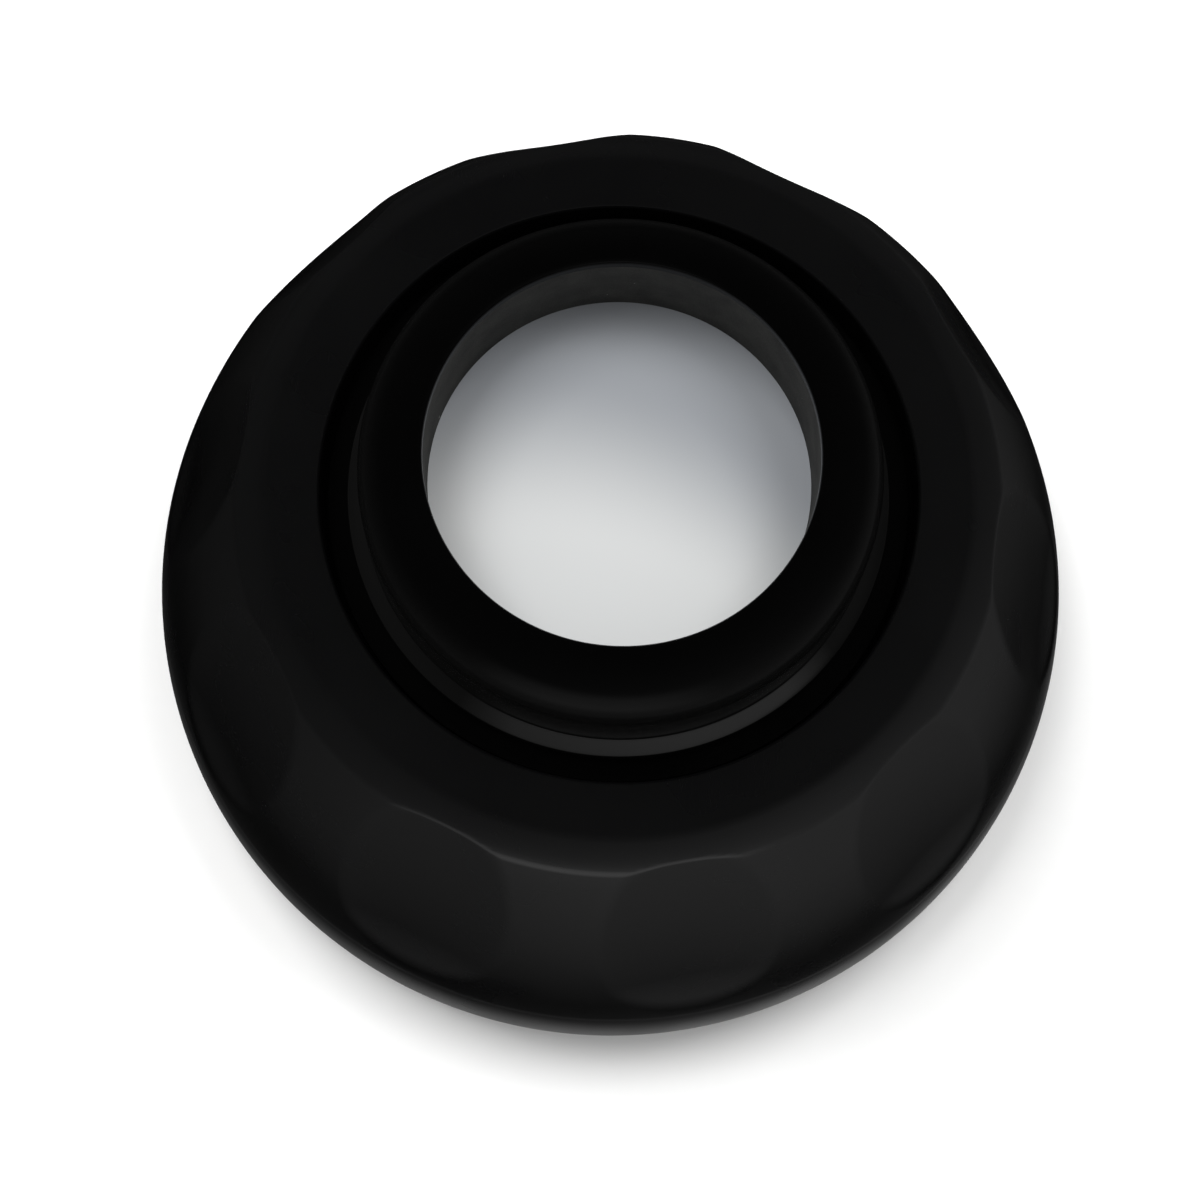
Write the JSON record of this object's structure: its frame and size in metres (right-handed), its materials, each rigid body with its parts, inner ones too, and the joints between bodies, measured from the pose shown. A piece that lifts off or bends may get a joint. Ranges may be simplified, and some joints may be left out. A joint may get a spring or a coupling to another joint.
{
  "type": "survey prism",
  "caption": "Round survey reflector in a black scalloped screw-on housing, with a bull-nosed window ring and a threaded mount underneath.",
  "frame": {"origin": "middle of the face that the prism stands on, on the optical axis", "axes": "+Z along the optical axis, out of the window; +X and +Y across, with a key pin on +X"},
  "size_m": [0.07, 0.07, 0.0393],
  "materials": {
    "black_moulding": "semi-gloss black moulding with fine handling marks",
    "black_metal": "turned aluminium, black gloss finish",
    "grey_liner": "matt dark grey, non-reflecting",
    "coated_glass": "silvered optical glass, smooth",
    "brass": "turned brass",
    "aluminium": "turned aluminium",
    "steel": "bright zinc plated steel",
    "rubber": "matt black rubber",
    "white_plastic": "natural low-friction plastic"
  },
  "bodies": {
    "base": {"base_plate": "black_moulding", "foot_ring": "rubber", "dust_ring": "rubber", "mount_insert": "brass", "base_gasket": "rubber", "threaded_collar": "aluminium", "cell_body": "black_metal", "cell_gasket": "rubber", "nose_ring": "black_metal", "nose_seal": "rubber", "bore_liner": "grey_liner", "glass_seal": "rubber", "prism_glass": "coated_glass", "prism_cushion": "rubber", "spring_washer": "steel", "base_screws": "steel", "insert_screws": "steel", "key_pins": "steel", "nose_grub_screws": "steel"},
    "slip": {"slip_ring": "white_plastic"},
    "cap": {"grip_cap": "black_moulding", "thread_ring": "brass", "ring_clip": "steel"}
  },
  "joints": [
    {"name": "cap_lift", "type": "slide", "parent": "base", "child": "slip", "axis": [0, 0, 1], "range_m": [0, 0.003]},
    {"name": "cap_turn", "type": "hinge", "parent": "slip", "child": "cap", "pos_m": [0, 0, 0.014], "axis": [0, 0, 1], "range_deg": [0, 720]}
  ],
  "couplings": [
    {"joint": "cap_lift", "follows": "cap_turn", "m_per_rad": 0.00023873}
  ]
}
